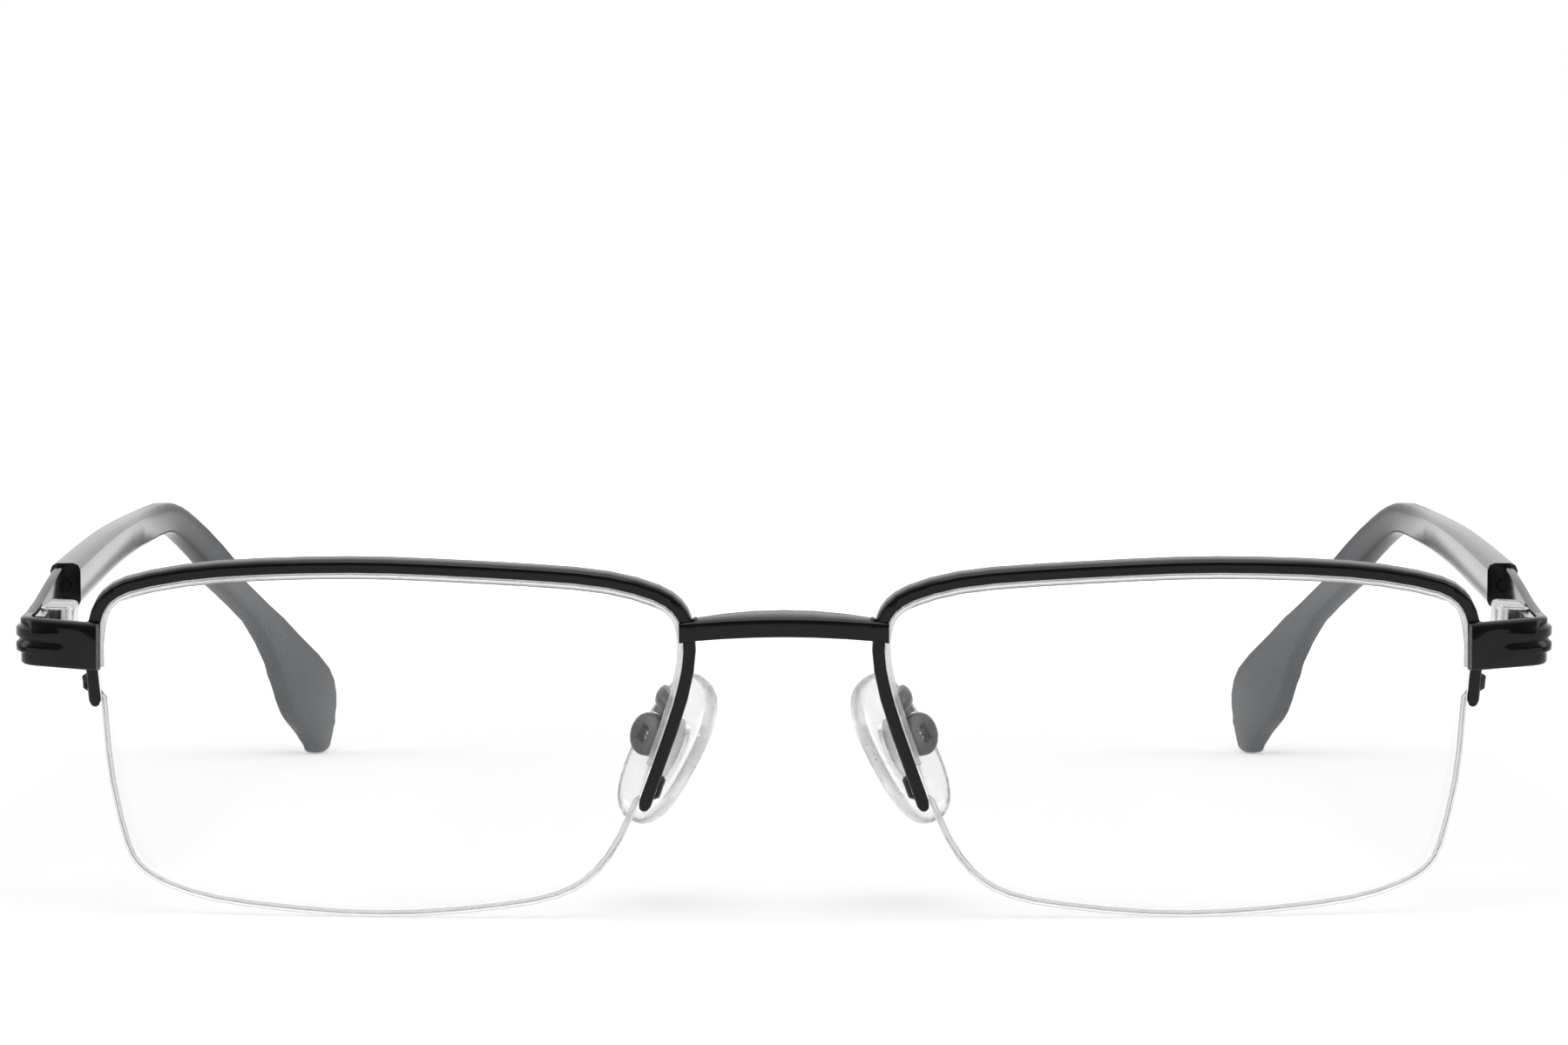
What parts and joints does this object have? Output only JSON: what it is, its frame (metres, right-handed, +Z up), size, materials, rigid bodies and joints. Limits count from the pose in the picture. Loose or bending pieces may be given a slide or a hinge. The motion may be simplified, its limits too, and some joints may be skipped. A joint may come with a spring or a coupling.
{
  "type": "semi-rimless eyeglasses",
  "caption": "Semi-rimless eyeglasses with a grooved black half-rim, clear lenses held from below by a nylon cord, rocking silicone nose pads and folding temples.",
  "frame": {"origin": "on the table, at the middle of the overall width and depth", "axes": "+Z up, the lenses face -Y, the temples run back to +Y, the wearer's left is +X"},
  "size_m": [0.1402, 0.1372, 0.0334],
  "materials": {
    "black_metal": "black lacquer, satin to gloss",
    "steel": "bright, lightly polished",
    "dark_steel": "dark plated",
    "black_plastic": "gloss, satin at the tips",
    "clear_lens": "clear, polished",
    "clear_nylon": "clear monofilament",
    "clear_silicone": "clear silicone, satin"
  },
  "bodies": {
    "front": {"bridge": "black_metal", "eyewire_left": "black_metal", "rim_liner_left": "clear_nylon", "lens_left": "clear_lens", "nylon_cord_left": "clear_nylon", "endpiece_left": "black_metal", "hinge_front_leaf_left": "steel", "hinge_screw_left": "steel", "pad_arm_left": "dark_steel", "pad_box_left": "dark_steel", "pad_screw_left": "steel", "eyewire_right": "black_metal", "rim_liner_right": "clear_nylon", "lens_right": "clear_lens", "nylon_cord_right": "clear_nylon", "endpiece_right": "black_metal", "hinge_front_leaf_right": "steel", "hinge_screw_right": "steel", "pad_arm_right": "dark_steel", "pad_box_right": "dark_steel", "pad_screw_right": "steel"},
    "temple_left": {"hinge_rear_leaf_left": "steel", "temple_plate_left": "black_metal", "temple_arm_left": "black_plastic", "core_wire_left": "steel"},
    "pad_left": {"nose_pad_left": "clear_silicone", "pad_core_left": "clear_silicone"},
    "temple_right": {"hinge_rear_leaf_right": "steel", "temple_plate_right": "black_metal", "temple_arm_right": "black_plastic", "core_wire_right": "steel"},
    "pad_right": {"nose_pad_right": "clear_silicone", "pad_core_right": "clear_silicone"}
  },
  "joints": [
    {"name": "temple_fold_left", "type": "hinge", "parent": "front", "child": "temple_left", "pos_m": [0.06699, -0.05624, 0.02553], "axis": [0.0419, -0.0577, 0.9975], "range_deg": [0, 82]},
    {"name": "temple_fold_right", "type": "hinge", "parent": "front", "child": "temple_right", "pos_m": [-0.06699, -0.05624, 0.02553], "axis": [-0.0419, 0.0577, -0.9975], "range_deg": [0, 82]},
    {"name": "pad_rock_left", "type": "hinge", "parent": "front", "child": "pad_left", "pos_m": [0.01229, -0.05773, 0.01636], "axis": [0.5329, 0.7314, 0.4255], "range_deg": [-8, 8]},
    {"name": "pad_rock_right", "type": "hinge", "parent": "front", "child": "pad_right", "pos_m": [-0.01229, -0.05773, 0.01636], "axis": [-0.5329, 0.7314, 0.4255], "range_deg": [-8, 8]}
  ]
}
